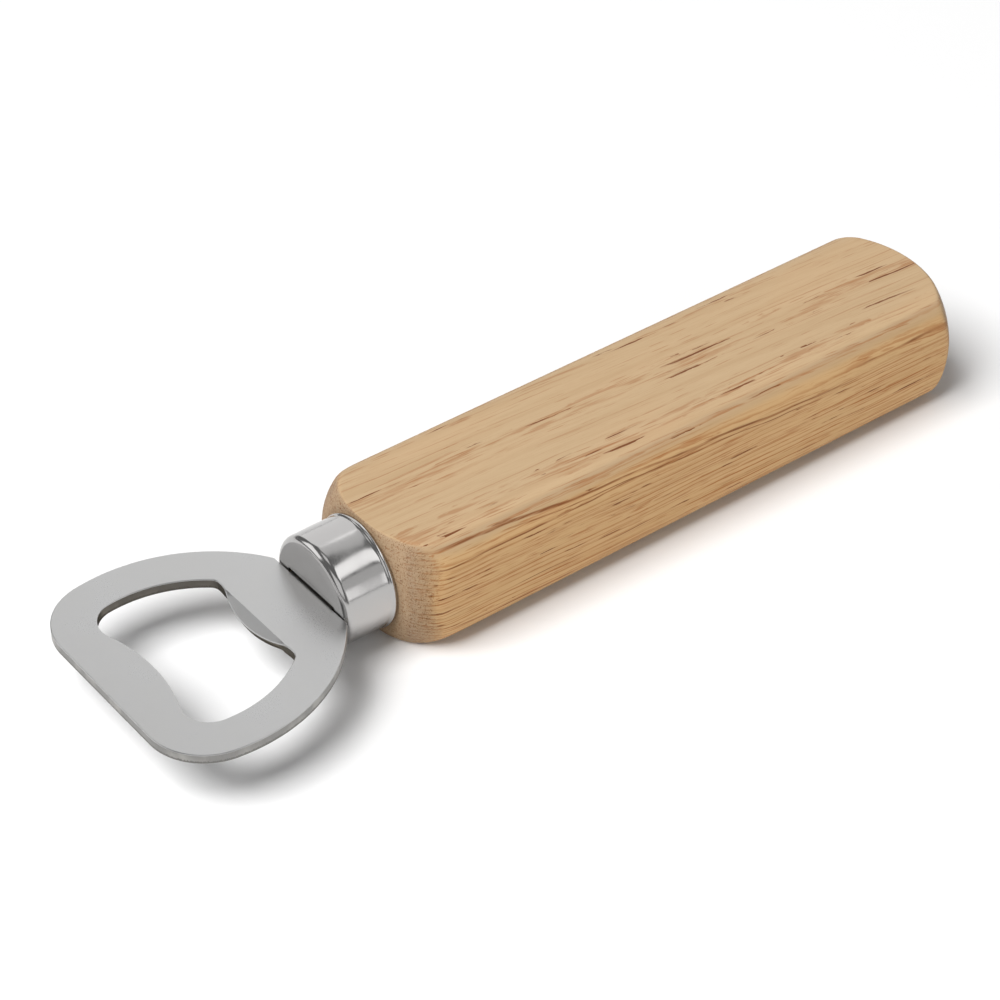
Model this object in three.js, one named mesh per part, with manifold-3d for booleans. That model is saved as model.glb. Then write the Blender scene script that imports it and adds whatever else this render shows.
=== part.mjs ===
// Souvenir bottle opener: a stamped steel opener head, held by a steel ferrule
// and a glued tang in a wooden bar handle.
// Millimetres, +Z up. The handle runs along +X and the head points along -X.
// Every sub-part is drawn about the handle's axis, with x = 0 at the handle's front shoulder.
// The finished group lies on its handle, with the origin under the middle of its bounding box.

import * as THREE from 'three';
import { mergeVertices } from 'three/addons/utils/BufferGeometryUtils.js';
import Module from 'manifold-3d';

const wasm = await Module();
wasm.setup();

// ---------------------------------------------------------------- driving dimensions

const GAP = 0.1; // clearance between neighbouring pieces
const CUT = 1; // how far a cutting tool runs past the face it cuts

// opener head: flat steel strip
const PLATE_THICKNESS = 1.6;
const HEAD_FRONT_X = -43.5; // straight front edge
const HEAD_SIDE_RADIUS = 26.5; // long arc down each side
const HEAD_HALF_WIDTH = 21.2;
const HEAD_WIDEST_X = -31.3;
const HEAD_CORNER_RADIUS = 9.5;

// window in the head that takes the crown cap
const WINDOW_HALF_WIDTH = 15;
const WINDOW_SIDE_RADIUS = 19.3;
const WINDOW_LIP_X = -35.4; // crest of the front lip, on the axis
const WINDOW_LIP_RADIUS = 28; // the lip bows towards the handle
const WINDOW_FRONT_CORNER_RADIUS = 4.3;
const WINDOW_REAR_CORNER_RADIUS = 1.6;
const BEND_X = -18.4; // rear edge of the window, where the tooth is bent down

// tooth: a circular segment bent down from the rear edge of the window
const TOOTH_HALF_CHORD = 7.9;
const TOOTH_REACH = 1.95;
const TOOTH_ROOT_RADIUS = 4; // hollow where the tooth's edge runs into the window's rear edge
const TOOTH_BEND = THREE.MathUtils.degToRad(25);

// tang: the narrow tail of the head, glued into the handle
const TANG_HALF_WIDTH = 5.2;
const TANG_END_X = 28;

// ferrule: drawn cup with a slotted end and a rolled rear lip
const FERRULE_LENGTH = 8.9;
const FERRULE_RADIUS = 8.85;
const FERRULE_EDGE_RADIUS = 1.1;
const FERRULE_WALL = 0.8;
const FERRULE_END_THICKNESS = 1.2;
const LIP_RADIUS = 9.0;
const LIP_WIDTH = 0.8;
const SLOT_CLEARANCE = 0.45; // all round the tang

// handle: rounded bar with both ends turned down
const HANDLE_LENGTH = 109.3;
const HANDLE_HALF_WIDTH = 13.8;
const HANDLE_HALF_THICKNESS = 9.45;
const HANDLE_EDGE_RADIUS = 5.3;
const SHOULDER_RADIUS = 9.2; // front face round the ferrule
const FRONT_TURNED_LENGTH = 7.6;
const FRONT_TURNED_RADIUS = 15; // where the turned front runs out into the bar
const FRONT_TURNED_POWER = 1.7;
const BUTT_TURNED_LENGTH = 14.4;
const BUTT_TURNED_RADIUS = 17.4;
const BUTT_TURNED_POWER = 2.1;

// spigot inside the ferrule, and the bore that takes the tang and its adhesive
const SPIGOT_RADIUS = FERRULE_RADIUS - FERRULE_WALL - GAP;
const SPIGOT_FRONT_X = -FERRULE_LENGTH + FERRULE_END_THICKNESS + 2 * GAP;
const BORE_RADIUS = 6;
const BORE_END_X = 31;

// facets
const BAR_CORNER_STEPS = 8;
const TURNED_STEPS = 10; // along each turned end
const TURNED_SEGMENTS = 72; // round the handle
const FERRULE_SEGMENTS = 72;
const FERRULE_EDGE_STEPS = 6;
const BORE_SEGMENTS = 32;
const ARC_STEPS = 16; // along a long arc of the head

const HALF_LENGTH = (HANDLE_LENGTH - HEAD_FRONT_X) / 2;
const MIDDLE_X = HEAD_FRONT_X + HALF_LENGTH;

// ---------------------------------------------------------------- materials

const material = (color, roughness, metalness) =>
  new THREE.MeshStandardMaterial({ color, roughness, metalness });

const materials = {
  headSteel: material(0xbfbfbf, 0.42, 1),
  ferruleSteel: material(0xb9b8b6, 0.14, 1),
  wood: material(0xc9a67a, 0.6, 0),
  adhesive: material(0xd8c48f, 0.3, 0),
};

// ---------------------------------------------------------------- geometry helpers

// Turns a three.js geometry into a manifold solid, for joining and cutting.
function solid(geometry) {
  const bare = geometry.clone();
  bare.deleteAttribute('normal');
  bare.deleteAttribute('uv');
  const merged = mergeVertices(bare, 1e-5);
  return new wasm.Manifold(
    new wasm.Mesh({
      numProp: 3,
      vertProperties: merged.attributes.position.array,
      triVerts: Uint32Array.from(merged.index.array),
    }),
  );
}

// Turns a manifold solid back into a three.js geometry.
function toGeometry(body) {
  const { vertProperties, triVerts } = body.getMesh();
  const geometry = new THREE.BufferGeometry();
  geometry.setAttribute('position', new THREE.BufferAttribute(vertProperties, 3));
  geometry.setIndex(new THREE.BufferAttribute(triVerts, 1));
  geometry.computeVertexNormals();
  return geometry;
}

// A profile of [radius, x] points, turned round the handle's axis.
function turned(profile, segments) {
  const points = profile.map(([radius, x]) => new THREE.Vector2(radius, x));
  return new THREE.LatheGeometry(points, segments).rotateZ(-Math.PI / 2);
}

// A box between two x positions, centred on the handle's axis.
function axisBox(fromX, toX, halfWidth, halfHeight) {
  const box = new THREE.BoxGeometry(toX - fromX, 2 * halfWidth, 2 * halfHeight);
  return box.translate((fromX + toX) / 2, 0, 0);
}

// A flat shape in the XY plane, given a thickness and centred on z = 0.
function flatPlate(shape) {
  const options = { depth: PLATE_THICKNESS, bevelEnabled: false, curveSegments: ARC_STEPS };
  return new THREE.ExtrudeGeometry(shape, options).translate(0, 0, -PLATE_THICKNESS / 2);
}

// Centre of a circle that lies at x and at a given distance from another centre, on the +Y side.
function centreAt(x, from, distance) {
  return new THREE.Vector2(x, from.y + Math.sqrt(distance ** 2 - (x - from.x) ** 2));
}

// Angle of the ray from one point to another.
function angleTo(from, to) {
  return Math.atan2(to.y - from.y, to.x - from.x);
}

// Points along an arc, both ends included.
function arcPoints(centre, radius, fromAngle, toAngle, steps) {
  return Array.from({ length: steps + 1 }, (_, i) => {
    const angle = fromAngle + ((toAngle - fromAngle) * i) / steps;
    return new THREE.Vector2(
      centre.x + radius * Math.cos(angle),
      centre.y + radius * Math.sin(angle),
    );
  });
}

// Closes a half outline on the +Y side with its mirror image.
function mirrored(half) {
  const other = half.filter((p) => p.y > 1e-6).map((p) => new THREE.Vector2(p.x, -p.y));
  return [...half, ...other.reverse()];
}

// ---------------------------------------------------------------- opener head

// Outer edge: straight front, round corners, one long arc down each side, square shoulders, tang.
function headOutline() {
  const side = new THREE.Vector2(HEAD_WIDEST_X, HEAD_HALF_WIDTH - HEAD_SIDE_RADIUS);
  const cornerX = HEAD_FRONT_X + HEAD_CORNER_RADIUS;
  const corner = centreAt(cornerX, side, HEAD_SIDE_RADIUS - HEAD_CORNER_RADIUS);
  const shoulderX = -FERRULE_LENGTH - GAP;
  const shoulder = centreAt(shoulderX, side, HEAD_SIDE_RADIUS);
  const blend = angleTo(side, corner);
  return mirrored([
    new THREE.Vector2(TANG_END_X, TANG_HALF_WIDTH),
    new THREE.Vector2(shoulderX, TANG_HALF_WIDTH),
    ...arcPoints(side, HEAD_SIDE_RADIUS, angleTo(side, shoulder), blend, 2 * ARC_STEPS),
    ...arcPoints(corner, HEAD_CORNER_RADIUS, blend, Math.PI, ARC_STEPS).slice(1),
  ]);
}

// Window edge: bowed front lip, round front corners, side arcs, tight rear corners, straight rear.
function windowOutline() {
  const side = new THREE.Vector2(HEAD_WIDEST_X, WINDOW_HALF_WIDTH - WINDOW_SIDE_RADIUS);
  const rearX = BEND_X - WINDOW_REAR_CORNER_RADIUS;
  const rear = centreAt(rearX, side, WINDOW_SIDE_RADIUS - WINDOW_REAR_CORNER_RADIUS);
  const lip = new THREE.Vector2(WINDOW_LIP_X - WINDOW_LIP_RADIUS, 0);
  const front = windowFrontCorner(side, lip);
  const rearBlend = angleTo(side, rear);
  const frontBlend = angleTo(side, front);
  const lipBlend = angleTo(front, lip) + 2 * Math.PI;
  return mirrored([
    ...arcPoints(rear, WINDOW_REAR_CORNER_RADIUS, 0, rearBlend, ARC_STEPS / 2),
    ...arcPoints(side, WINDOW_SIDE_RADIUS, rearBlend, frontBlend, ARC_STEPS).slice(1),
    ...arcPoints(front, WINDOW_FRONT_CORNER_RADIUS, frontBlend, lipBlend, ARC_STEPS).slice(1),
    ...arcPoints(lip, WINDOW_LIP_RADIUS, angleTo(lip, front), 0, ARC_STEPS / 2).slice(1),
  ]);
}

// Centre of the window's front corner: inside the side arc, and outside the lip's circle.
function windowFrontCorner(side, lip) {
  const toSide = WINDOW_SIDE_RADIUS - WINDOW_FRONT_CORNER_RADIUS;
  const toLip = WINDOW_LIP_RADIUS + WINDOW_FRONT_CORNER_RADIUS;
  const span = lip.distanceTo(side);
  const along = (toLip ** 2 - toSide ** 2 + span ** 2) / (2 * span);
  const across = Math.sqrt(toLip ** 2 - along ** 2);
  const direction = side.clone().sub(lip).divideScalar(span);
  return new THREE.Vector2(
    lip.x + along * direction.x - across * direction.y,
    lip.y + along * direction.y + across * direction.x,
  );
}

// Tooth's edge before it is bent, with x = 0 on the bend line: a long bow between two hollows.
function toothOutline() {
  const radius = (TOOTH_HALF_CHORD ** 2 + TOOTH_REACH ** 2) / (2 * TOOTH_REACH);
  const bow = new THREE.Vector2(radius - TOOTH_REACH, 0);
  const root = centreAt(-TOOTH_ROOT_RADIUS, bow, radius + TOOTH_ROOT_RADIUS);
  return mirrored([
    ...arcPoints(root, TOOTH_ROOT_RADIUS, 0, angleTo(root, bow), ARC_STEPS / 4),
    ...arcPoints(bow, radius, angleTo(bow, root), Math.PI, ARC_STEPS / 2).slice(1),
  ]);
}

// Tooth: its flat top turns about the bend line, so it stays joined to the plate all along it.
function toothSolid() {
  const outline = new THREE.Shape(toothOutline());
  const tooth = flatPlate(outline).translate(0, 0, -PLATE_THICKNESS / 2);
  return solid(tooth.rotateY(-TOOTH_BEND).translate(BEND_X, 0, PLATE_THICKNESS / 2));
}

function openerHead() {
  const outline = new THREE.Shape(headOutline());
  outline.holes.push(new THREE.Path(windowOutline()));
  return toGeometry(solid(flatPlate(outline)).add(toothSolid()));
}

// ---------------------------------------------------------------- ferrule

// Closed profile of the cup, from the middle of its end face round to the inside.
function ferruleProfile() {
  const front = -FERRULE_LENGTH;
  const edge = new THREE.Vector2(FERRULE_RADIUS - FERRULE_EDGE_RADIUS, front + FERRULE_EDGE_RADIUS);
  const inner = FERRULE_RADIUS - FERRULE_WALL;
  return [
    [0, front],
    ...arcPoints(edge, FERRULE_EDGE_RADIUS, -Math.PI / 2, 0, FERRULE_EDGE_STEPS)
      .map((p) => [p.x, p.y]),
    [FERRULE_RADIUS, -LIP_WIDTH],
    [LIP_RADIUS, -LIP_WIDTH * 0.7],
    [LIP_RADIUS, -LIP_WIDTH * 0.2],
    [FERRULE_RADIUS, 0],
    [inner, 0],
    [inner, front + FERRULE_END_THICKNESS],
    [0, front + FERRULE_END_THICKNESS],
  ];
}

function ferrule() {
  const slot = axisBox(
    -FERRULE_LENGTH - CUT,
    -FERRULE_LENGTH + FERRULE_END_THICKNESS + CUT,
    TANG_HALF_WIDTH + SLOT_CLEARANCE,
    PLATE_THICKNESS / 2 + SLOT_CLEARANCE,
  );
  const cup = solid(turned(ferruleProfile(), FERRULE_SEGMENTS));
  return toGeometry(cup.subtract(solid(slot)));
}

// ---------------------------------------------------------------- handle

// Plain bar with rounded long edges.
function handleBar() {
  const shape = new THREE.Shape();
  const y = HANDLE_HALF_WIDTH - HANDLE_EDGE_RADIUS;
  const z = HANDLE_HALF_THICKNESS - HANDLE_EDGE_RADIUS;
  shape.absarc(y, z, HANDLE_EDGE_RADIUS, 0, Math.PI / 2);
  shape.absarc(-y, z, HANDLE_EDGE_RADIUS, Math.PI / 2, Math.PI);
  shape.absarc(-y, -z, HANDLE_EDGE_RADIUS, Math.PI, 1.5 * Math.PI);
  shape.absarc(y, -z, HANDLE_EDGE_RADIUS, 1.5 * Math.PI, 2 * Math.PI);
  const depth = HANDLE_LENGTH - GAP;
  const options = { depth, bevelEnabled: false, curveSegments: BAR_CORNER_STEPS };
  const alongX = new THREE.Matrix4().makeBasis(
    new THREE.Vector3(0, 1, 0),
    new THREE.Vector3(0, 0, 1),
    new THREE.Vector3(1, 0, 0),
  );
  return new THREE.ExtrudeGeometry(shape, options).applyMatrix4(alongX).translate(GAP, 0, 0);
}

// Radius gained along a turned end, from 0 at its tip to 1 where it runs out.
function turnedRise(fraction, power) {
  return (1 - (1 - fraction) ** power) ** (1 / power);
}

// Turned body that trims both ends of the bar.
function turnedEnvelope() {
  const steps = Array.from({ length: TURNED_STEPS + 1 }, (_, i) => i / TURNED_STEPS);
  // closer steps near the tip, where the curve is steepest
  const fractions = steps.map((step) => step ** 2);
  const front = fractions.map((fraction) => [
    SHOULDER_RADIUS
      + (FRONT_TURNED_RADIUS - SHOULDER_RADIUS) * turnedRise(fraction, FRONT_TURNED_POWER),
    GAP + FRONT_TURNED_LENGTH * fraction,
  ]);
  const butt = fractions.map((fraction) => [
    BUTT_TURNED_RADIUS * turnedRise(fraction, BUTT_TURNED_POWER),
    HANDLE_LENGTH - BUTT_TURNED_LENGTH * fraction,
  ]);
  return turned([[0, GAP], ...front, ...butt.reverse()], TURNED_SEGMENTS);
}

function handle() {
  const overlap = 2 * GAP; // the spigot is rooted this far inside the bar
  const spigot = turned(
    [
      [0, SPIGOT_FRONT_X],
      [SPIGOT_RADIUS, SPIGOT_FRONT_X],
      [SPIGOT_RADIUS, GAP + overlap],
      [0, GAP + overlap],
    ],
    FERRULE_SEGMENTS,
  );
  const bore = turned(
    [
      [0, SPIGOT_FRONT_X - CUT],
      [BORE_RADIUS, SPIGOT_FRONT_X - CUT],
      [BORE_RADIUS, BORE_END_X],
      [0, BORE_END_X + BORE_RADIUS / 2], // drill point
    ],
    BORE_SEGMENTS,
  );
  const bar = solid(handleBar()).intersect(solid(turnedEnvelope()));
  return toGeometry(bar.add(solid(spigot)).subtract(solid(bore)));
}

// ---------------------------------------------------------------- adhesive round the tang

function tangAdhesive() {
  const radius = BORE_RADIUS - GAP;
  const plug = turned(
    [
      [0, SPIGOT_FRONT_X],
      [radius, SPIGOT_FRONT_X],
      [radius, BORE_END_X - GAP],
      [0, BORE_END_X - GAP],
    ],
    BORE_SEGMENTS,
  );
  const socket = axisBox(
    SPIGOT_FRONT_X - CUT,
    TANG_END_X + GAP,
    TANG_HALF_WIDTH + GAP,
    PLATE_THICKNESS / 2 + GAP,
  );
  return toGeometry(solid(plug).subtract(solid(socket)));
}

// ---------------------------------------------------------------- assembly

function part(name, geometry, finish) {
  const mesh = new THREE.Mesh(geometry, finish);
  mesh.name = name;
  return mesh;
}

const opener = new THREE.Group();
opener.add(
  part('opener_head', openerHead(), materials.headSteel),
  part('ferrule', ferrule(), materials.ferruleSteel),
  part('handle', handle(), materials.wood),
  part('tang_adhesive', tangAdhesive(), materials.adhesive),
);
opener.position.set(-MIDDLE_X, 0, HANDLE_HALF_THICKNESS);

export default opener;
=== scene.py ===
import math

import bmesh
import bpy
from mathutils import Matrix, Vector


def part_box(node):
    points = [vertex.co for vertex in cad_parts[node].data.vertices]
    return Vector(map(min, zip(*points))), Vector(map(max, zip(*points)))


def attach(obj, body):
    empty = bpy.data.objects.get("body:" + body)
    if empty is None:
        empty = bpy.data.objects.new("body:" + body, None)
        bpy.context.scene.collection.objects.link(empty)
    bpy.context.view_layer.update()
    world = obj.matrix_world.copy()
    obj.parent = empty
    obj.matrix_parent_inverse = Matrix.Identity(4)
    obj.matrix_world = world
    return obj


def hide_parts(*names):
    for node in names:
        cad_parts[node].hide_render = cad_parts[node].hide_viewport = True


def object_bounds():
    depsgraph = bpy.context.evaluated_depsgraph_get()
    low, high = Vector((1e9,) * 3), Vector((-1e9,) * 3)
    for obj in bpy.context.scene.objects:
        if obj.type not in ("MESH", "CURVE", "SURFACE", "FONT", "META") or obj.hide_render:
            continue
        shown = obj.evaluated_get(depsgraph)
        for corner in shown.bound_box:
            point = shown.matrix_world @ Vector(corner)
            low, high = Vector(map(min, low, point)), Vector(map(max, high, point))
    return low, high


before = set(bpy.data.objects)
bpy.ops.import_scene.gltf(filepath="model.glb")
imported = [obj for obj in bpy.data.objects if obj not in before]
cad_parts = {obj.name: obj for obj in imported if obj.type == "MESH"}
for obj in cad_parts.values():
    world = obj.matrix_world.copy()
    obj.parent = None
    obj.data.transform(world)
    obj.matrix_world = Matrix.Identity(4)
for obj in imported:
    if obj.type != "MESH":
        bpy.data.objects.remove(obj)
cad_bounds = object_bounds()

# ---------------------------------------------------------------- driving dimensions
# Millimetres about the handle's axis: x = 0 at the handle's front shoulder, the head towards -x.

MM = 0.001

# opener head
PLATE_THICKNESS = 1.6
HEAD_FRONT_X = -43.5
HEAD_SIDE_RADIUS = 26.5
HEAD_HALF_WIDTH = 21.2
HEAD_WIDEST_X = -31.3
HEAD_CORNER_RADIUS = 9.5
WINDOW_HALF_WIDTH = 15
WINDOW_SIDE_RADIUS = 19.3
WINDOW_LIP_X = -35.4
WINDOW_LIP_RADIUS = 28
WINDOW_FRONT_CORNER_RADIUS = 4.3
WINDOW_REAR_CORNER_RADIUS = 1.6
BEND_X = -18.4
TOOTH_HALF_CHORD = 7.9
TOOTH_REACH = 1.95
TOOTH_ROOT_RADIUS = 4  # hollow where the tooth's edge runs into the window's rear edge
TOOTH_BEND = math.radians(25)
FULL_BEND_REACH = 0.8  # where the tooth stands out less than this, the bend fades out
TANG_HALF_WIDTH = 5.2
TANG_END_X = 28
HEAD_GAP = 0.1  # between the head's shoulders and the ferrule
TOP_EDGE_RADIUS = 0.13  # rolled over by the punch
BOTTOM_EDGE_RADIUS = 0.1
EDGE_STEPS = 4
ARC_STEP = math.radians(2)
MITRE_LIMIT = 0.5  # a corner moves at most 1 / this times as far as its edges
BEND_CLEARANCE = 0.02  # rim points closer than this to the bend line stay with the plate
ON_AXIS = 1e-6  # outline points this close to the axis have no mirror image

# ferrule
FERRULE_LENGTH = 8.9
FERRULE_RADIUS = 8.85
FERRULE_EDGE_RADIUS = 1.1
FERRULE_WALL = 0.8
FERRULE_END_THICKNESS = 1.2
LIP_RADIUS = 9.0
LIP_WIDTH = 0.8
SLOT_CLEARANCE = 0.45
SLOT_CORNER_RADIUS = 0.35
SLOT_EDGE_RADIUS = 0.12
FRONT_SLACK = 0.04  # the drawn wall runs in this much towards its front edge
FRONT_SLACK_LENGTH = 3.2
REAR_FLARE = 0.03  # and out this much towards the lip
REAR_FLARE_LENGTH = 1.3
LIP_SETBACK = 0.05  # behind the rolled lip
LIP_DROP = 0.15
FERRULE_SEGMENTS = 256
FACE_RINGS = 4
SLOT_EDGE_STEPS = 4
FERRULE_EDGE_STEPS = 12
LIP_STEPS = 12
WALL_RINGS = 40

# handle
HANDLE_LENGTH = 109.3
HANDLE_HALF_WIDTH = 13.8
HANDLE_HALF_THICKNESS = 9.45
HANDLE_EDGE_RADIUS = 5.3
SHOULDER_X = 0.1
SHOULDER_RADIUS = 9.2
FRONT_TURNED_LENGTH = 7.6
FRONT_TURNED_RADIUS = 15
FRONT_TURNED_POWER = 1.7
BUTT_TURNED_LENGTH = 14.4
BUTT_TURNED_RADIUS = 17.4
BUTT_TURNED_POWER = 2.1
CREASE_BLEND = 0.7  # how softly the turned ends run into the bar
SPIGOT_RADIUS = 7.95
SPIGOT_FRONT_X = -7.5
BORE_RADIUS = 6
BORE_END_X = 31
BORE_POINT = 3
HANDLE_SEGMENTS = 384
FRONT_RINGS = 48
MIDDLE_RINGS = 40
BUTT_RINGS = 72

handle_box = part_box("handle")
AXIS_Z = (handle_box[0].z + handle_box[1].z) / 2 / MM
AXIS_X = handle_box[1].x / MM - HANDLE_LENGTH

# ---------------------------------------------------------------- mesh helpers


def to_frame(x, y, z):
    """A point about the handle's axis, in millimetres, as a point in the row frame."""
    return Vector((x + AXIS_X, y, z + AXIS_Z)) * MM


def make_piece(name, body_mesh, node, slot, *materials):
    """Turns a bmesh into a piece that rides with the opener and stands for a CAD node."""
    bmesh.ops.recalc_face_normals(body_mesh, faces=body_mesh.faces)
    mesh = bpy.data.meshes.new(name)
    body_mesh.to_mesh(mesh)
    body_mesh.free()
    mesh.shade_smooth()
    for material in materials:
        mesh.materials.append(material)
    piece = bpy.data.objects.new(name, mesh)
    bpy.context.scene.collection.objects.link(piece)
    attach(piece, "root")
    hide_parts(node)
    return piece


def keep_faces_flat(piece):
    """Shading normals follow the large faces right up to their rounded edges."""
    weighted = piece.modifiers.new("flat faces", "WEIGHTED_NORMAL")
    weighted.keep_sharp = True


def join_rings(body, first, second):
    """Quads between two closed rings with the same number of points."""
    faces = []
    for i, vertex in enumerate(first):
        j = (i + 1) % len(first)
        faces.append(body.faces.new((vertex, first[j], second[j], second[i])))
    return faces


def fan(body, ring, tip):
    """Triangles from a closed ring to one point."""
    for i, vertex in enumerate(ring):
        body.faces.new((vertex, ring[(i + 1) % len(ring)], tip))


def arc(centre, radius, start, end):
    """Points along an arc, both ends included, no further apart than ARC_STEP."""
    steps = max(4, math.ceil(abs(end - start) / ARC_STEP))
    angles = [start + (end - start) * i / steps for i in range(steps + 1)]
    return [
        Vector((centre[0] + radius * math.cos(a), centre[1] + radius * math.sin(a)))
        for a in angles
    ]


def angle_to(start, end):
    return math.atan2(end[1] - start[1], end[0] - start[0])


def centre_at(x, other, distance):
    """Centre of a circle that lies at x, a given distance from another centre, on the +y side."""
    return Vector((x, other[1] + math.sqrt(distance**2 - (x - other[0]) ** 2)))


def mirrored(half):
    """Closes a half outline on the +y side with its mirror image."""
    other = [Vector((p[0], -p[1])) for p in reversed(half) if p[1] > ON_AXIS]
    return half + other


def moved_left(loop, distance):
    """A closed outline moved to its left by a distance, with mitred corners."""
    moved = []
    for i, point in enumerate(loop):
        before = (point - loop[i - 1]).normalized()
        after = (loop[(i + 1) % len(loop)] - point).normalized()
        left = Vector((-before[1] - after[1], before[0] + after[0])).normalized()
        stretch = max(left.dot(Vector((-before[1], before[0]))), MITRE_LIMIT)
        moved.append(point + left * distance / stretch)
    return moved


# ---------------------------------------------------------------- opener head


def head_outline():
    side = Vector((HEAD_WIDEST_X, HEAD_HALF_WIDTH - HEAD_SIDE_RADIUS))
    corner_x = HEAD_FRONT_X + HEAD_CORNER_RADIUS
    corner = centre_at(corner_x, side, HEAD_SIDE_RADIUS - HEAD_CORNER_RADIUS)
    shoulder_x = -FERRULE_LENGTH - HEAD_GAP
    shoulder = centre_at(shoulder_x, side, HEAD_SIDE_RADIUS)
    blend = angle_to(side, corner)
    half = [Vector((TANG_END_X, TANG_HALF_WIDTH)), Vector((shoulder_x, TANG_HALF_WIDTH))]
    half += arc(side, HEAD_SIDE_RADIUS, angle_to(side, shoulder), blend)
    half += arc(corner, HEAD_CORNER_RADIUS, blend, math.pi)[1:]
    return mirrored(half)


def window_front_corner(side, lip):
    """Centre of the window's front corner, inside the side arc and outside the lip's circle."""
    to_side = WINDOW_SIDE_RADIUS - WINDOW_FRONT_CORNER_RADIUS
    to_lip = WINDOW_LIP_RADIUS + WINDOW_FRONT_CORNER_RADIUS
    span = (side - lip).length
    along = (to_lip**2 - to_side**2 + span**2) / (2 * span)
    across = math.sqrt(to_lip**2 - along**2)
    direction = (side - lip) / span
    return lip + along * direction + across * Vector((-direction[1], direction[0]))


def tooth_circle():
    radius = (TOOTH_HALF_CHORD**2 + TOOTH_REACH**2) / (2 * TOOTH_REACH)
    return Vector((BEND_X + radius - TOOTH_REACH, 0)), radius


def tooth_root():
    """Centre of the hollow at the tooth's end, on the +y side."""
    centre, radius = tooth_circle()
    return centre_at(BEND_X - TOOTH_ROOT_RADIUS, centre, radius + TOOTH_ROOT_RADIUS)


def window_outline():
    """Window edge in the flat strip, before the tooth is bent, with the handle's side first."""
    side = Vector((HEAD_WIDEST_X, WINDOW_HALF_WIDTH - WINDOW_SIDE_RADIUS))
    rear_x = BEND_X - WINDOW_REAR_CORNER_RADIUS
    rear = centre_at(rear_x, side, WINDOW_SIDE_RADIUS - WINDOW_REAR_CORNER_RADIUS)
    lip = Vector((WINDOW_LIP_X - WINDOW_LIP_RADIUS, 0))
    front = window_front_corner(side, lip)
    rear_blend = angle_to(side, rear)
    front_blend = angle_to(side, front)
    lip_blend = angle_to(front, lip) + 2 * math.pi
    tooth, tooth_radius = tooth_circle()
    root = tooth_root()
    half = arc(tooth, tooth_radius, math.pi, angle_to(tooth, root))
    half += arc(root, TOOTH_ROOT_RADIUS, angle_to(root, tooth), 0)[1:]
    half += arc(rear, WINDOW_REAR_CORNER_RADIUS, 0, rear_blend)
    half += arc(side, WINDOW_SIDE_RADIUS, rear_blend, front_blend)[1:]
    half += arc(front, WINDOW_FRONT_CORNER_RADIUS, front_blend, lip_blend)[1:]
    half += arc(lip, WINDOW_LIP_RADIUS, angle_to(lip, front), 0)[1:]
    return mirrored(half)


def edge_profile():
    """(distance in from the edge, height) pairs from the top face round to the bottom face."""
    half = PLATE_THICKNESS / 2
    turns = [math.pi / 2 * i / EDGE_STEPS for i in range(EDGE_STEPS + 1)]
    top = [
        (TOP_EDGE_RADIUS * (1 - math.sin(a)), half - TOP_EDGE_RADIUS * (1 - math.cos(a)))
        for a in turns
    ]
    bottom = [
        (BOTTOM_EDGE_RADIUS * (1 - math.cos(a)), -half + BOTTOM_EDGE_RADIUS * (1 - math.sin(a)))
        for a in turns
    ]
    return top + bottom


def tooth_reach_at(y):
    """How far the tooth stands out from the bend line in the flat strip."""
    root_y = tooth_root()[1]
    if abs(y) >= root_y:
        return 0.0
    centre, radius = tooth_circle()
    if abs(y) > root_y * radius / (radius + TOOTH_ROOT_RADIUS):
        return TOOTH_ROOT_RADIUS - math.sqrt(TOOTH_ROOT_RADIUS**2 - (root_y - abs(y)) ** 2)
    return BEND_X - centre[0] + math.sqrt(radius**2 - y**2)


def bend_at(y):
    """The tooth's bend, which fades out towards its two ends."""
    share = min(tooth_reach_at(y) / FULL_BEND_REACH, 1)
    return TOOTH_BEND * share**2 * (3 - 2 * share)


def bent(x, y, z):
    """A point of the flat strip after the tooth is bent down about the top of its bend line."""
    forward = BEND_X - x
    bend = bend_at(y)
    if bend == 0 or forward > 2 * TOOTH_REACH:
        return x, y, z
    depth = PLATE_THICKNESS / 2 - z
    # on the underside the two faces meet behind the bend line
    mitre = depth * math.tan(bend / 2)
    if forward <= -mitre:
        return x, y, z
    if forward < mitre:
        return BEND_X + mitre, y, z
    cos, sin = math.cos(bend), math.sin(bend)
    return (
        BEND_X - forward * cos + depth * sin,
        y,
        PLATE_THICKNESS / 2 - forward * sin - depth * cos,
    )


def edge_rows(body, loop, wall_material):
    """Rows of vertices round an outline, from its top face's rim to its bottom face's rim."""
    rows = []
    for inward, height in edge_profile():
        row = moved_left(loop, inward)
        rows.append([body.verts.new(to_frame(*bent(p[0], p[1], height))) for p in row])
    for i, (upper, lower) in enumerate(zip(rows, rows[1:])):
        for face in join_rings(body, upper, lower):
            face.material_index = wall_material if i == EDGE_STEPS else 0
    return rows


def rim_pairs(rim):
    """Neighbouring vertices round a closed rim."""
    return [(vertex, rim[(i + 1) % len(rim)]) for i, vertex in enumerate(rim)]


def fill_between(body, outer, inner):
    """Flat triangles between an outer rim and the rim of a hole in it."""
    pairs = rim_pairs(outer) + rim_pairs(inner)
    edges = [body.edges.get(pair) or body.edges.new(pair) for pair in pairs]
    bmesh.ops.triangle_fill(body, edges=edges, use_beauty=True, use_dissolve=False)


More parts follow.
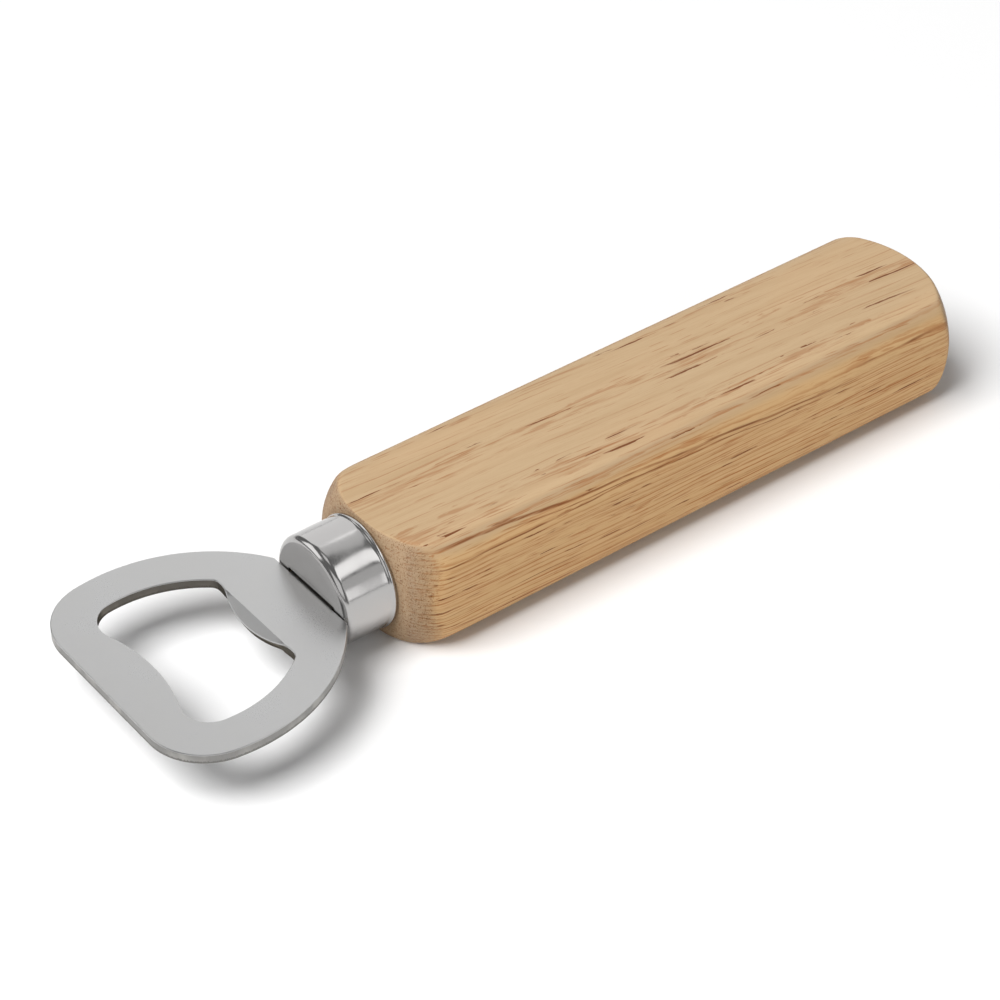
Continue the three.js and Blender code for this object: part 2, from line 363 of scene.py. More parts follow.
def close_face(body, outer, inner, height):
    """Top or bottom face: the flat plate as far as the bend line, then the tooth's own face."""
    span = [i for i in range(-len(inner) // 2, len(inner) // 2) if is_on_tooth(inner[i], height)]
    line = []
    for i in span:
        y = inner[i].co.y / MM
        line.append(body.verts.new(to_frame(*bent(BEND_X, y, height))))
    rim = [inner[i] for i in range(span[-1] + 1, len(inner) + span[0])]
    fill_between(body, outer, rim + line)
    bend = [rim[-1]] + line + [rim[0]]
    teeth = [inner[i] for i in span]
    for k in range(len(line) - 1):
        body.faces.new((line[k], line[k + 1], teeth[k + 1], teeth[k]))
    body.faces.new((rim[-1], line[0], teeth[0]))
    body.faces.new((rim[0], teeth[-1], line[-1]))
    creases = list(zip(bend, bend[1:])) + rim_pairs(outer) + rim_pairs(inner)
    for pair in creases:
        body.edges.get(pair).smooth = False


def is_on_tooth(vertex, height):
    """Whether a rim vertex stands clear of the bend line on the tooth."""
    x = vertex.co.x / MM - AXIS_X
    y = vertex.co.y / MM
    line_x = bent(BEND_X, y, height)[0]
    return tooth_reach_at(y) > 0 and line_x - 2 * TOOTH_REACH < x < line_x - BEND_CLEARANCE


def opener_head(face_material, outer_wall, window_wall):
    body = bmesh.new()
    outer = edge_rows(body, head_outline(), 1)
    inner = edge_rows(body, list(reversed(window_outline())), 2)
    inner = [row[-1:] + row[:-1] for row in inner]  # starts on the tooth's tip again
    half = PLATE_THICKNESS / 2
    close_face(body, outer[0], inner[0], half)
    close_face(body, outer[-1], inner[-1], -half)
    materials = (face_material, outer_wall, window_wall)
    keep_faces_flat(make_piece("head_plate", body, "opener_head", "head_steel", *materials))


# ---------------------------------------------------------------- ferrule


def slot_point(share, spread):
    """A point of the slot's rounded outline, grown by spread, at a share of the way round."""
    radius = SLOT_CORNER_RADIUS + spread
    flat_y = TANG_HALF_WIDTH + SLOT_CLEARANCE - SLOT_CORNER_RADIUS
    flat_z = PLATE_THICKNESS / 2 + SLOT_CLEARANCE - SLOT_CORNER_RADIUS
    turn = radius * math.pi / 2
    lengths = [flat_z, turn, 2 * flat_y, turn, 2 * flat_z, turn, 2 * flat_y, turn, flat_z]
    travel = share * sum(lengths)
    corners = [(flat_y, flat_z), (-flat_y, flat_z), (-flat_y, -flat_z), (flat_y, -flat_z)]
    for k, length in enumerate(lengths):
        if travel <= length or k == len(lengths) - 1:
            break
        travel -= length
    quarter = k // 2
    if k % 2:
        centre = corners[quarter]
        a = quarter * math.pi / 2 + travel / radius
        return centre[0] + radius * math.cos(a), centre[1] + radius * math.sin(a)
    a = quarter * math.pi / 2
    start = (flat_y, 0) if k == 0 else corners[quarter - 1]
    y = start[0] + radius * math.cos(a) - travel * math.sin(a)
    z = start[1] + radius * math.sin(a) + travel * math.cos(a)
    return y, z


def body_radius(x):
    """The drawn wall is a touch slack behind the front edge and flares a little at the lip."""
    slack_end = -FERRULE_LENGTH + FERRULE_EDGE_RADIUS + FRONT_SLACK_LENGTH
    front = max(0, (slack_end - x) / FRONT_SLACK_LENGTH)
    rear = max(0, (x + LIP_WIDTH + REAR_FLARE_LENGTH) / REAR_FLARE_LENGTH)
    waist = FERRULE_RADIUS - REAR_FLARE
    return waist - FRONT_SLACK * front**2 + REAR_FLARE * min(rear, 1) ** 2


def ferrule_rings():
    """Rings as (x, slot spread, radius, share of the way from slot to circle)."""
    front = -FERRULE_LENGTH
    back = front + FERRULE_END_THICKNESS
    face_radius = FERRULE_RADIUS - FRONT_SLACK - REAR_FLARE - FERRULE_EDGE_RADIUS
    inner = FERRULE_RADIUS - FERRULE_WALL
    rings = []
    for i in range(SLOT_EDGE_STEPS + 1):
        a = math.pi / 2 * i / SLOT_EDGE_STEPS
        drop = SLOT_EDGE_RADIUS * (1 - math.sin(a))
        rings.append((front + drop, SLOT_EDGE_RADIUS * (1 - math.cos(a)), face_radius, 0))
    for i in range(1, FACE_RINGS + 1):
        rings.append((front, SLOT_EDGE_RADIUS, face_radius, i / FACE_RINGS))
    for i in range(1, FERRULE_EDGE_STEPS + 1):
        a = math.pi / 2 * i / FERRULE_EDGE_STEPS
        x = front + FERRULE_EDGE_RADIUS * (1 - math.cos(a))
        rings.append((x, 0, face_radius + FERRULE_EDGE_RADIUS * math.sin(a), 1))
    bead = LIP_WIDTH / 2
    crest = -bead - LIP_SETBACK
    start, end = front + FERRULE_EDGE_RADIUS, crest - bead
    for i in range(1, WALL_RINGS):
        x = start + (end - start) * i / WALL_RINGS
        rings.append((x, 0, body_radius(x), 1))
    for i in range(1, LIP_STEPS + 1):
        a = math.pi * i / LIP_STEPS
        radius = FERRULE_RADIUS + (LIP_RADIUS - FERRULE_RADIUS) * math.sin(a)
        rings.append((crest - bead * math.cos(a), 0, radius, 1))
    rings.append((0, 0, FERRULE_RADIUS - LIP_DROP, 1))
    rings.append((0, 0, inner, 1))
    rings.append((back, 0, inner, 1))
    for i in reversed(range(FACE_RINGS)):
        rings.append((back, 0, inner, i / FACE_RINGS))
    return rings


def ferrule(material):
    body = bmesh.new()
    rings = []
    for x, spread, radius, share in ferrule_rings():
        ring = []
        for i in range(FERRULE_SEGMENTS):
            a = 2 * math.pi * i / FERRULE_SEGMENTS
            y, z = slot_point(i / FERRULE_SEGMENTS, spread)
            y += (radius * math.cos(a) - y) * share
            z += (radius * math.sin(a) - z) * share
            ring.append(body.verts.new(to_frame(x, y, z)))
        rings.append(ring)
    for i, ring in enumerate(rings):
        join_rings(body, rings[i - 1], ring)
    keep_faces_flat(make_piece("ferrule_cup", body, "ferrule", "ferrule_steel", material))


# ---------------------------------------------------------------- handle


def bar_radius(angle):
    """Distance from the axis to the bar's rounded rectangle in one direction."""
    cos, sin = abs(math.cos(angle)), abs(math.sin(angle))
    flat_y = HANDLE_HALF_WIDTH - HANDLE_EDGE_RADIUS
    flat_z = HANDLE_HALF_THICKNESS - HANDLE_EDGE_RADIUS
    if HANDLE_HALF_WIDTH * sin <= flat_z * cos:
        return HANDLE_HALF_WIDTH / cos
    if HANDLE_HALF_THICKNESS * cos <= flat_y * sin:
        return HANDLE_HALF_THICKNESS / sin
    along = flat_y * cos + flat_z * sin
    return along + math.sqrt(HANDLE_EDGE_RADIUS**2 - flat_y**2 - flat_z**2 + along**2)


def smooth_min(a, b, blend):
    overlap = max(blend - abs(a - b), 0) / blend
    return min(a, b) - overlap**2 * blend / 4


def turned_rise(fraction, power):
    return (1 - (1 - fraction) ** power) ** (1 / power)


def handle_stations():
    """(x, turned radius) pairs along the outside of the handle."""
    front = []
    for i in range(FRONT_RINGS + 1):
        fraction = (i / FRONT_RINGS) ** 2
        rise = turned_rise(fraction, FRONT_TURNED_POWER)
        radius = SHOULDER_RADIUS + (FRONT_TURNED_RADIUS - SHOULDER_RADIUS) * rise
        front.append((SHOULDER_X + FRONT_TURNED_LENGTH * fraction, radius))
    butt = []
    for i in range(BUTT_RINGS + 1):
        fraction = (i / BUTT_RINGS) ** 2
        radius = BUTT_TURNED_RADIUS * turned_rise(fraction, BUTT_TURNED_POWER)
        butt.append((HANDLE_LENGTH - BUTT_TURNED_LENGTH * fraction, radius))
    start, end = front[-1][0], butt[-1][0]
    middle = []
    for i in range(1, MIDDLE_RINGS):
        middle.append((start + (end - start) * i / MIDDLE_RINGS, BUTT_TURNED_RADIUS))
    return front + middle + list(reversed(butt[1:]))


def handle(material):
    body = bmesh.new()
    angles = [2 * math.pi * i / HANDLE_SEGMENTS for i in range(HANDLE_SEGMENTS)]

    def ring(x, radius_at):
        return [
            body.verts.new(to_frame(x, radius_at(a) * math.cos(a), radius_at(a) * math.sin(a)))
            for a in angles
        ]

    inside = [
        (BORE_END_X, BORE_RADIUS),
        (SPIGOT_FRONT_X, BORE_RADIUS),
        (SPIGOT_FRONT_X, SPIGOT_RADIUS),
        (SHOULDER_X, SPIGOT_RADIUS),
    ]
    rings = [ring(x, lambda a, r=radius: r) for x, radius in inside]
    for x, radius in handle_stations():
        rings.append(ring(x, lambda a, r=radius: smooth_min(bar_radius(a), r, CREASE_BLEND)))
    for first, second in zip(rings, rings[1:]):
        join_rings(body, first, second)
    fan(body, rings[0], body.verts.new(to_frame(BORE_END_X + BORE_POINT, 0, 0)))
    fan(body, rings[-1], body.verts.new(to_frame(HANDLE_LENGTH, 0, 0)))
    make_piece("handle_bar", body, "handle", "handle_wood", material)


# ---------------------------------------------------------------- material helpers

WHITE = (1, 1, 1, 1)


class Shading:
    """A material's node tree, with short ways to add nodes to it."""

    def __init__(self, name):
        self.material = bpy.data.materials.new(name)
        self.material.use_nodes = True
        self.tree = self.material.node_tree
        self.shader = self.tree.nodes["Principled BSDF"]

    def add(self, kind, options=None, **inputs):
        node = self.tree.nodes.new("ShaderNode" + kind)
        for key, value in (options or {}).items():
            setattr(node, key, value)
        for key, value in inputs.items():
            self.set(node, key.replace("_", " "), value)
        return node

    def set(self, node, key, value):
        """Sets an input, named by its label or by "i" and its number, or links a socket to it."""
        numbered = key[0] == "i" and key[1:].isdigit()
        socket = node.inputs[int(key[1:]) if numbered else key]
        if isinstance(value, bpy.types.NodeSocket):
            self.tree.links.new(value, socket)
        else:
            socket.default_value = value

    def math(self, operation, a, b=0.0, c=0.0):
        return self.add("Math", {"operation": operation}, i0=a, i1=b, i2=c).outputs[0]

    def product(self, a, b):
        return self.math("MULTIPLY", a, b)

    def vector(self, operation, a, b=(0, 0, 0)):
        node = self.add("VectorMath", {"operation": operation}, i0=a, i1=b)
        return node.outputs["Value" if operation == "DOT_PRODUCT" else "Vector"]

    def parts(self, point):
        return self.add("SeparateXYZ", None, Vector=point).outputs

    def joined(self, x, y, z):
        return self.add("CombineXYZ", None, X=x, Y=y, Z=z).outputs[0]

    def scaled(self, point, size):
        """The point with each coordinate divided by a length, for grain of that size."""
        return self.vector("MULTIPLY", point, [1 / length for length in size])

    def noise(self, point, size, detail=2.0, roughness=0.5, colored=False):
        """Noise with grain of a given size along x, y and z, in millimetres."""
        place = self.scaled(point, size)
        inputs = {"Vector": place, "Scale": 1.0, "Detail": detail, "Roughness": roughness}
        return self.add("TexNoise", None, **inputs).outputs[1 if colored else 0]

    def range(self, value, low, high, to_low=0.0, to_high=1.0, smooth=True):
        options = {"interpolation_type": "SMOOTHSTEP" if smooth else "LINEAR"}
        node = self.add("MapRange", options, i0=value, i1=low, i2=high, i3=to_low, i4=to_high)
        return node.outputs[0]

    def mix(self, factor, a, b, blend="MIX"):
        node = self.add("Mix", {"data_type": "RGBA", "blend_type": blend})
        self.set(node, "i0", factor)
        self.set(node, "i6", a)
        self.set(node, "i7", b)
        return node.outputs[2]

    def tinted(self, factor, color, tint):
        """The color, multiplied by a tint as far as the factor says."""
        return self.mix(factor, color, self.mix(1.0, color, tint, "MULTIPLY"))

    def finish(self, **inputs):
        for key, value in inputs.items():
            self.set(self.shader, key.replace("_", " "), value)
        return self.material

    def bump(self, height, depth, strength):
        """A normal for relief of a given depth in millimetres."""
        node = self.add("Bump", None, Height=height, Distance=depth * MM, Strength=strength)
        return node.outputs[0]

    def millimetres(self):
        """The surface point about the handle's axis, in millimetres."""
        place = self.add("TexCoord").outputs["Object"]
        scaled = self.vector("SCALE", place)
        scaled.node.inputs["Scale"].default_value = 1 / MM
        return self.vector("SUBTRACT", scaled, (AXIS_X, 0, AXIS_Z))


# ---------------------------------------------------------------- wood

RING_SPACING = 0.85
RING_TILT = 0.085  # the rings rise towards +y, so they graze the top face
RING_START = 9.1  # height of one ring's first vessels, on the axis
RING_DRIFT = 0.03
FIBRE_DRIFT = 0.05  # the fibres lean towards -y on their way to the butt
FLANK_DROP = 0.026  # and dip on the flanks

LIGHT_WOOD = (0.520, 0.368, 0.216, 1)
WARM_WOOD = (0.56, 0.37, 0.21, 1)
TAN_WOOD = (0.430, 0.280, 0.148, 1)
BROWN_WOOD = (0.310, 0.115, 0.034, 1)
DARK_WOOD = (0.155, 0.048, 0.016, 1)
# painted shade on the flanks: darker and more orange than the top, partly the side grain's own
# tone
FLANK_TONE_AND_PAINTED_SHADE_TINT = (0.98, 0.89, 0.72, 1)
# painted shade: the rounded edges between top and flanks darkened and greyed
EDGE_PAINTED_SHADE_TINT = (0.86, 0.89, 0.95, 1)
END_GRAIN_TINT = (0.78, 0.79, 0.85, 1)
SPECKLE_TINT = (0.52, 0.38, 0.28, 1)

# sizes of the figure along x, y and z
FIBRE_SIZE = (6, 0.16, 0.16)
BAND_SIZE = (60, 1.6, 1.6)
TONE_SIZE = (26, 7, 7)
THIN_LINE_SIZE = (40, 1.4, 0.24)
THREAD_SIZE = (26, 0.34, 0.34)
PATCH_SIZE = (10, 1.7, 1.2)
SWELL_SIZE = (5, 0.7, 0.7)
HALO_SIZE = (9, 0.7, 0.7)
FADING_SIZE = (22, 1.2, 0.8)
GRIME_SIZE = (9, 1, 0.3)
UPRIGHT_SPECKLE_SIZE = (0.5, 0.10, 0.45)
LEVEL_SPECKLE_SIZE = (0.5, 0.35, 0.12)
LARGE_VESSEL_SIZE = (19, 0.56, 0.56)
SMALL_VESSEL_SIZE = (5, 0.26, 0.26)

# dark streaks under the top edge on the -y side: first and last x, first and last z, thickness
DARK_STREAKS = (
    (3, 84, 8.5, 4.0, 0.25),
    (16, 78, 7.1, 3.6, 0.13),
    (2, 62, 5.9, 5.5, 0.15),
    (84, 104, 6.0, 5.7, 0.32),
    (2, 48, -2.4, -3.5, 0.11),
    (3, 30, -5.1, -6.3, 0.20),
    (40, 104, -5.9, -7.6, 0.12),
)


def wander(s, point, along, across, amount):
    """Slow sideways drift of the fibres, of a given size."""
    noise = s.noise(point, (along, across, across), colored=True)
    return s.vector("MULTIPLY", s.vector("SUBTRACT", noise, (0.5, 0.5, 0.5)), (0, amount, amount))


def grain_space(s, point):
    """The point moved so that the fibres run straight along x."""
    x, _, z = s.parts(point)
    depth = s.range(z, 8.8, 4.5)
    drop = s.product(s.product(x, depth), FLANK_DROP)
    lean = s.product(x, FIBRE_DRIFT)
    moved = s.vector("ADD", point, s.joined(0.0, lean, drop))
    calm_on_top = s.joined(0.0, 0.7, s.math("MULTIPLY_ADD", depth, 0.85, 0.05))
    slow = s.vector("MULTIPLY", wander(s, point, 38, 9, 2.0), calm_on_top)
    moved = s.vector("ADD", moved, slow)
    moved = s.vector("ADD", moved, wander(s, point, 8, 2, 0.24))
    return s.vector("ADD", moved, wander(s, point, 1.6, 0.5, 0.12))


def facings(s):
    """How far the surface faces sideways, out along the fibres, and in between top and side."""
    normal = s.parts(s.add("NewGeometry").outputs["Normal"])
    flank = s.range(s.math("ABSOLUTE", normal[1]), 0.35, 0.95)
    end = s.range(s.math("ABSOLUTE", normal[0]), 0.2, 0.7)
    edge = s.product(s.range(flank, 0.0, 0.3), s.range(flank, 1.0, 0.7))
    return flank, end, edge


def plain_wood(s, point, grain, fibre, flank, edge):
    """The wood between its lines and vessels."""
    band = s.noise(grain, BAND_SIZE, 3, 0.55)
    tone = s.noise(point, TONE_SIZE)
    color = s.mix(s.range(band, 0.40, 0.75, 0, 0.45), LIGHT_WOOD, TAN_WOOD)
    color = s.mix(s.range(fibre, 0.45, 0.75, 0, 0.45), color, TAN_WOOD)
    color = s.mix(s.range(tone, 0.35, 0.7, 0, 0.25), color, WARM_WOOD)
    # the flanks take the side grain's own tone, with painted shade that darkens them against the
    # top
    color = s.tinted(flank, color, FLANK_TONE_AND_PAINTED_SHADE_TINT)
    # painted shade: the rounded edges between top and flanks darkened and greyed
    return s.tinted(edge, color, EDGE_PAINTED_SHADE_TINT)


def add_fine_lines(s, color, grain, flank):
    """Long brown lines: thin layers that show on the flanks, and threads that show everywhere."""
    thin = s.range(s.noise(grain, THIN_LINE_SIZE, 3, 0.6), 0.53, 0.66)
    thread = s.range(s.noise(grain, THREAD_SIZE), 0.58, 0.74)
    thin_share = s.math("MULTIPLY_ADD", flank, 0.52, 0.06)
    thread_share = s.math("MULTIPLY_ADD", flank, 0.2, 0.52)
    color = s.mix(s.product(thin, thin_share), color, BROWN_WOOD)
    return s.mix(s.product(thread, thread_share), color, BROWN_WOOD)


def ring_number(s, point, grain):
    """Counts growth rings upwards; the fraction is the place in the ring."""
    x, y, _ = s.parts(point)
    z = s.parts(grain)[2]
    across = s.math("MULTIPLY_ADD", x, RING_DRIFT, y)
    level = s.math("MULTIPLY_ADD", across, -RING_TILT, z)
    return s.math("DIVIDE", s.math("SUBTRACT", level, RING_START), RING_SPACING)


def vessels(s, grain, size, share, swell=1.0):
    """Long tubes along the grain: dashes where they are cut open, dots where cut across."""
    place = s.scaled(grain, size)
    cells = s.add("TexVoronoi", {"feature": "F1"}, Vector=place, Scale=1.0)
    pick = s.vector("DOT_PRODUCT", cells.outputs["Color"], (1, 0, 0))
    chosen = s.math("LESS_THAN", pick, share)
    distance = s.math("DIVIDE", cells.outputs["Distance"], swell)
    return s.product(s.range(distance, 0.46, 0.22), chosen)


def add_growth(s, color, point, grain, flank, end):
    """Vessels crowded into the early part of each growth ring, and the line where it starts.

    Returns the color, the large vessels and the small ones.
    """
    ring = ring_number(s, point, grain)
    phase = s.math("FRACT", ring)
    chance = s.add("TexWhiteNoise", {"noise_dimensions": "1D"}, W=s.math("FLOOR", ring)).outputs[0]
    early = s.product(s.range(phase, 0.0, 0.03), s.range(phase, 0.48, 0.20))
    line = s.product(s.range(phase, 0.0, 0.08), s.range(phase, 0.38, 0.12))

    patches = s.range(s.noise(grain, PATCH_SIZE), 0.39, 0.51)
    share = s.math("MULTIPLY_ADD", s.product(early, patches), 0.75, 0.006)
    swell = s.range(s.noise(grain, SWELL_SIZE), 0.42, 0.58, 0.5, 1.0)
    large = vessels(s, grain, LARGE_VESSEL_SIZE, share, swell)
    small = vessels(s, grain, SMALL_VESSEL_SIZE, s.math("MULTIPLY_ADD", early, 0.24, 0.05))
    halo = s.product(early, s.range(s.noise(grain, HALO_SIZE, 3), 0.48, 0.66))
    fading = s.range(s.noise(grain, FADING_SIZE), 0.40, 0.58)
    hair = s.product(s.product(line, flank), fading)

    color = s.mix(s.product(halo, 0.46), color, BROWN_WOOD)
    color = s.mix(s.product(small, s.range(end, 0, 1, 0.45, 0.25)), color, BROWN_WOOD)
    color = s.mix(s.product(hair, s.range(chance, 0, 1, 0.45, 1.0)), color, BROWN_WOOD)
    depth = s.product(large, s.range(swell, 0.5, 1.0, 0.5, 0.95))
    depth = s.product(depth, s.range(end, 0, 1, 1.0, 0.45))
    vessel_color = s.mix(s.range(swell, 0.5, 1.0), BROWN_WOOD, DARK_WOOD)
    return s.mix(depth, color, vessel_color), large, small


def streak(s, point, start_x, end_x, start_z, end_z, thickness):
    """A thin dark layer that shows as a long line on the -y flank."""
    x, y, _ = s.parts(point)
    wavy = s.parts(s.vector("ADD", point, wander(s, point, 16, 9, 1.4)))[2]
    line = s.range(x, start_x, end_x, start_z, end_z, smooth=False)
    away = s.math("ABSOLUTE", s.math("SUBTRACT", wavy, line))
    inside = s.range(away, thickness, thickness * 0.3)
    start_fade = s.range(x, start_x - 1, start_x + 5)
    end_fade = s.range(x, end_x + 1, end_x - 5)
    near_side = s.range(y, -6, -9)
    return s.product(inside, s.product(s.product(start_fade, end_fade), near_side))


def add_streaks(s, color, point, grain):
    """Returns the color with its dark streaks, and the streaks."""
    streaks = 0.0
    for place in DARK_STREAKS:
        streaks = s.math("MAXIMUM", streaks, streak(s, point, *place))
    grime = s.range(s.noise(grain, GRIME_SIZE, 3), 0.35, 0.62, 0.35, 0.9)
    streaks = s.product(streaks, grime)
    return s.mix(streaks, color, s.mix(grime, BROWN_WOOD, DARK_WOOD)), streaks


def add_end_grain(s, color, grain, end):
    """Wood cut across its fibres drinks more oil, and shows its pores as speckle."""
    upright = s.noise(grain, UPRIGHT_SPECKLE_SIZE, 2, 0.6)
    level = s.noise(grain, LEVEL_SPECKLE_SIZE, 2, 0.6)
    speckle = s.math("MAXIMUM", s.range(upright, 0.54, 0.70), s.range(level, 0.56, 0.72))
    stain = s.mix(1.0, s.mix(speckle, WHITE, SPECKLE_TINT), END_GRAIN_TINT, "MULTIPLY")
    return s.tinted(end, color, stain)


def wood_relief(s, fibre, large, small, streaks):
    height = s.math("SUBTRACT", s.product(fibre, 0.3), large)
    height = s.math("SUBTRACT", height, s.product(small, 0.4))
    height = s.math("SUBTRACT", height, s.product(streaks, 0.5))
    return s.bump(height, 0.05, 0.6)


def wood_material():
    s = Shading("handle_wood")
    point = s.millimetres()
    grain = grain_space(s, point)
    flank, end, edge = facings(s)
    fibre = s.noise(grain, FIBRE_SIZE, 4, 0.6)
    color = plain_wood(s, point, grain, fibre, flank, edge)
    color = add_fine_lines(s, color, grain, flank)
    color, large, small = add_growth(s, color, point, grain, flank, end)
    color, streaks = add_streaks(s, color, point, grain)
    return s.finish(
        Base_Color=add_end_grain(s, color, grain, end),
        Roughness=s.range(fibre, 0.3, 0.7, 0.54, 0.66, smooth=False),
        Specular_IOR_Level=0.15,
        Normal=wood_relief(s, fibre, large, small, streaks),
    )


# ---------------------------------------------------------------- metals and adhesive

SATIN_STEEL = (0.486, 0.486, 0.486, 1)
SATIN_STEEL_CLOUD = (0.504, 0.502, 0.498, 1)
OUTER_WALL = (0.27, 0.265, 0.255, 1)
OUTER_WALL_TORN = (0.17, 0.165, 0.155, 1)
OUTER_WALL_GLANCE = (1, 1, 1, 1)
# painted shade: the window's walls are the outer wall's sheared steel, darkened and with their
# glancing reflection dimmed
PAINTED_SHADE_WINDOW_WALL = (0.135, 0.125, 0.11, 1)
PAINTED_SHADE_WINDOW_WALL_TORN = (0.10, 0.09, 0.08, 1)
PAINTED_SHADE_WINDOW_WALL_GLANCE = (0.35, 0.34, 0.32, 1)
# painted highlights: bright patches lightening the punched walls
PAINTED_HIGHLIGHT_TINT = (1.7, 1.68, 1.65, 1)
NICKEL = (0.455, 0.447, 0.441, 1)
EPOXY = (0.62, 0.47, 0.22, 1)
EPOXY_CLOUD = (0.74, 0.60, 0.33, 1)

# sizes of the figure along x, y and z
SPECKLE_SIZE = (0.12, 0.12, 0.12)
STEEL_CLOUD_SIZE = (9, 9, 9)
DRAG_LINE_SIZE = (0.15, 0.15, 2.5)
# patches of painted highlight on the walls
PAINTED_HIGHLIGHT_SIZE = (4, 4, 4)
HAZE_SIZE = (3, 3, 3)
POLISH_LINE_SIZE = (0.4, 0.08, 0.08)
EPOXY_CLOUD_SIZE = (4, 4, 4)


def satin_steel():
    """Tumbled strip: an even fine speckle, with a little cloudiness."""
    s = Shading("head_steel")
    point = s.millimetres()
    speckle = s.noise(point, SPECKLE_SIZE, 3, 0.6)
    cloud = s.noise(point, STEEL_CLOUD_SIZE, 3)
    fine_rough = s.range(speckle, 0.3, 0.7, 0.28, 0.36)
    broad_rough = s.range(cloud, 0.3, 0.7, -0.02, 0.02)
    return s.finish(
        Base_Color=s.mix(s.range(cloud, 0.3, 0.7), SATIN_STEEL, SATIN_STEEL_CLOUD),
        Metallic=1.0,
        Roughness=s.math("ADD", fine_rough, broad_rough),
        Normal=s.bump(speckle, 0.01, 0.5),
    )


def sheared_steel(name, smooth_color, torn_color, glance_color):
    """Wall left by the punch: fine upright drag lines, torn and darker towards the lower face."""
    s = Shading(name)
    point = s.millimetres()
    drag = s.noise(point, DRAG_LINE_SIZE, 3, 0.6)
    height = s.parts(point)[2]
    edge = s.math("ADD", height, s.range(drag, 0.3, 0.7, -0.15, 0.15))
    torn = s.range(edge, -0.25, -0.5)
    # painted highlights: patches of the walls lightened
    painted_highlight = s.range(s.noise(point, PAINTED_HIGHLIGHT_SIZE), 0.45, 0.65, 0.0, 0.6)
    return s.finish(
        Base_Color=s.mix(torn, s.tinted(painted_highlight, smooth_color, PAINTED_HIGHLIGHT_TINT), torn_color),
        Specular_Tint=glance_color,
        Metallic=1.0,
        Roughness=s.range(drag, 0.3, 0.7, 0.34, 0.5),
        Normal=s.bump(drag, 0.02, 0.5),
    )


def polished_nickel():
    s = Shading("ferrule_steel")
    point = s.millimetres()
    haze = s.noise(point, HAZE_SIZE, 3)
    fine = s.noise(point, POLISH_LINE_SIZE)
    hazy_rough = s.range(haze, 0.3, 0.7, 0.13, 0.18)
    fine_rough = s.range(fine, 0.3, 0.7, -0.02, 0.02)
    return s.finish(
        Base_Color=NICKEL,
        Metallic=1.0,
        Roughness=s.math("ADD", hazy_rough, fine_rough),
        Normal=s.bump(haze, 0.03, 0.3),
    )


def cured_epoxy():
    s = Shading("adhesive")
    clouds = s.noise(s.millimetres(), EPOXY_CLOUD_SIZE, 3)
    return s.finish(
        Base_Color=s.mix(s.range(clouds, 0.35, 0.65), EPOXY, EPOXY_CLOUD),
        Roughness=s.range(clouds, 0.3, 0.7, 0.22, 0.36),
        Normal=s.bump(clouds, 0.1, 0.4),
    )


# ---------------------------------------------------------------- studio

CAMERA_LENS = 108
SENSOR_WIDTH = 36
CAMERA_AZIMUTH = math.radians(-37.73)
CAMERA_ELEVATION = math.radians(39.11)
CAMERA_DISTANCE = 0.4444
CAMERA_OFFSET = Vector((-0.0076, 0.0001, 0.0002))  # from the middle of the opener
FLOOR_SIZE = 6
FLOOR_COLOR = (0.9, 0.9, 0.9, 1)
WORLD_STRENGTH = 0.21


def direction(azimuth, elevation):
    """Unit vector towards a light or camera; azimuth 0 is in front, on the -Y side."""
    flat = math.cos(elevation)
    return Vector((math.sin(azimuth) * flat, -math.cos(azimuth) * flat, math.sin(elevation)))


def aim(thing, place, target):
    thing.location = place
    thing.rotation_euler = (target - place).to_track_quat("-Z", "Y").to_euler()


def middle():
    low, high = cad_bounds
    return (Vector(low) + Vector(high)) / 2


def add_camera():
    data = bpy.data.cameras.new("camera")
    data.lens = CAMERA_LENS
    data.sensor_width = SENSOR_WIDTH
    camera = bpy.data.objects.new("camera", data)
    bpy.context.scene.collection.objects.link(camera)
    target = middle() + CAMERA_OFFSET
    aim(camera, target + CAMERA_DISTANCE * direction(CAMERA_AZIMUTH, CAMERA_ELEVATION), target)
    bpy.context.scene.camera = camera


def add_softbox(name, toward, distance, width, height, radiance, for_metal):
    """A soft light panel in one direction from the opener, with its own brightness.

    It either shows in the metal or lights the wood and the floor.
    """
    data = bpy.data.lights.new(name, "AREA")
    data.shape = "RECTANGLE"
    data.size = width
    data.size_y = height
    data.energy = radiance * width * height * math.pi
    light = bpy.data.objects.new(name, data)
    light.visible_glossy = for_metal
    light.visible_diffuse = not for_metal
    bpy.context.scene.collection.objects.link(light)
    target = middle()
    aim(light, target + distance * Vector(toward).normalized(), target)


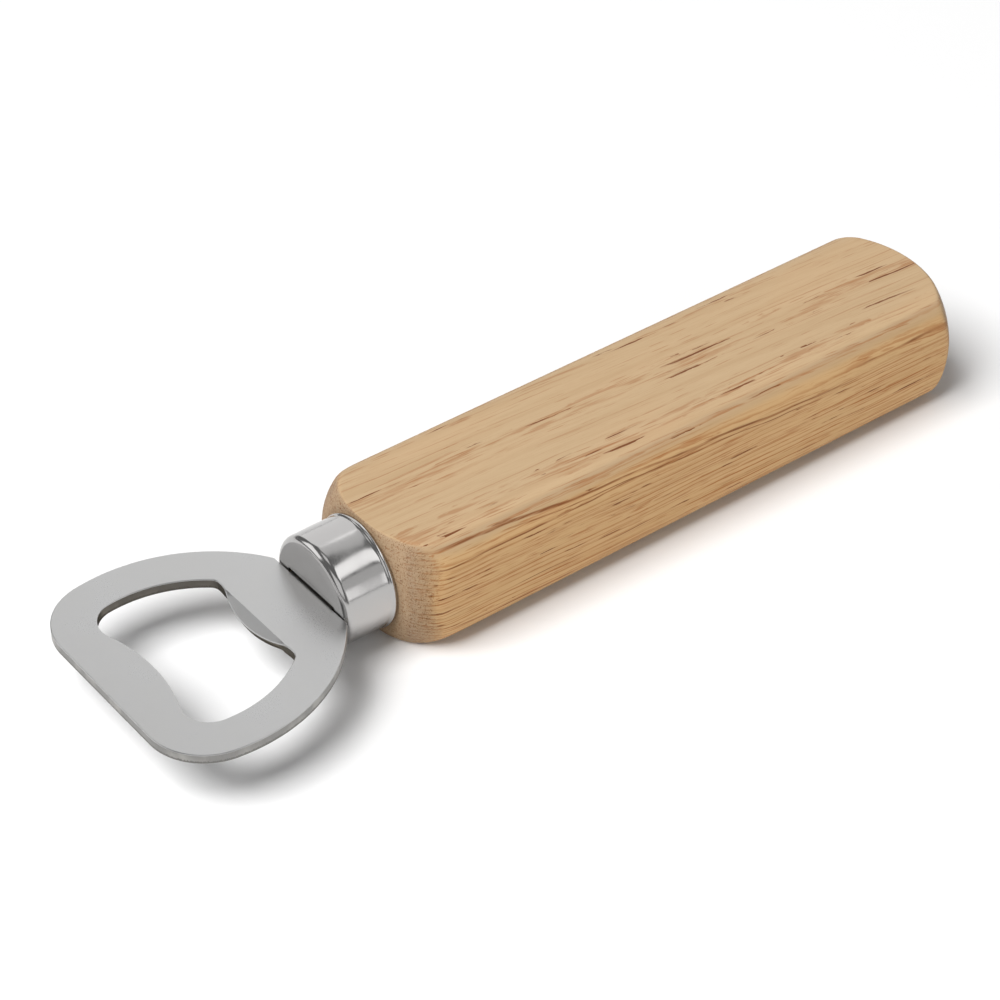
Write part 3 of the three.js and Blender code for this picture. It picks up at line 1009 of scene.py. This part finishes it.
def add_floor():
    body = bmesh.new()
    half = FLOOR_SIZE / 2
    corners = [(-half, -half), (half, -half), (half, half), (-half, half)]
    body.faces.new([body.verts.new((x, y, 0)) for x, y in corners])
    mesh = bpy.data.meshes.new("floor")
    body.to_mesh(mesh)
    body.free()
    s = Shading("floor")
    paint = s.finish(Base_Color=FLOOR_COLOR, Roughness=0.9, Specular_IOR_Level=0.1)
    mesh.materials.append(paint)
    floor = bpy.data.objects.new("floor", mesh)
    bpy.context.scene.collection.objects.link(floor)


def add_world():
    world = bpy.data.worlds.new("studio")
    world.use_nodes = True
    background = world.node_tree.nodes["Background"]
    background.inputs["Color"].default_value = WHITE
    background.inputs["Strength"].default_value = WORLD_STRENGTH
    bpy.context.scene.world = world
    bpy.context.scene.view_settings.view_transform = "Standard"


def add_studio():
    add_world()
    add_softbox("key", (-0.52, 0.04, 0.85), 2.6, 1.6, 1.6, 10.3, for_metal=False)
    add_softbox("fill", (0.10, -0.98, 0.10), 2.6, 3.2, 0.5, 5.6, for_metal=False)
    add_softbox("back", (0.62, 0.64, 0.46), 1.5, 1.9, 1.5, 0.97, for_metal=True)
    add_softbox("top", (0.52, 0.22, 0.83), 1.4, 0.9, 0.62, 0.66, for_metal=True)
    add_softbox("left", (-0.64, 0.58, 0.51), 1.5, 1.1, 1.0, 1.40, for_metal=True)
    add_softbox("strip", (0.475, -0.33, 0.815), 1.0, 1.1, 0.30, 1.6, for_metal=True)
    add_softbox("right", (0.50, -0.80, 0.34), 1.5, 1.3, 1.0, 0.50, for_metal=True)
    add_softbox("front", (0.33, -0.92, 0.20), 1.5, 0.22, 0.5, 0.9, for_metal=True)
    add_softbox("near", (-0.64, -0.62, 0.45), 1.5, 1.4, 1.0, 0.8, for_metal=True)
    add_softbox("above", (-0.04, 0.04, 1.0), 1.5, 0.6, 0.6, 0.8, for_metal=True)
    add_floor()
    add_camera()


# ---------------------------------------------------------------- build

opener_head(
    satin_steel(),
    sheared_steel("outer_wall_steel", OUTER_WALL, OUTER_WALL_TORN, OUTER_WALL_GLANCE),
    # the window's walls darkened with painted shade
    sheared_steel("painted_shade_window_wall_steel", PAINTED_SHADE_WINDOW_WALL, PAINTED_SHADE_WINDOW_WALL_TORN, PAINTED_SHADE_WINDOW_WALL_GLANCE),
)
ferrule(polished_nickel())
handle(wood_material())
for material_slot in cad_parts["tang_adhesive"].material_slots:
    material_slot.material = cured_epoxy()
add_studio()
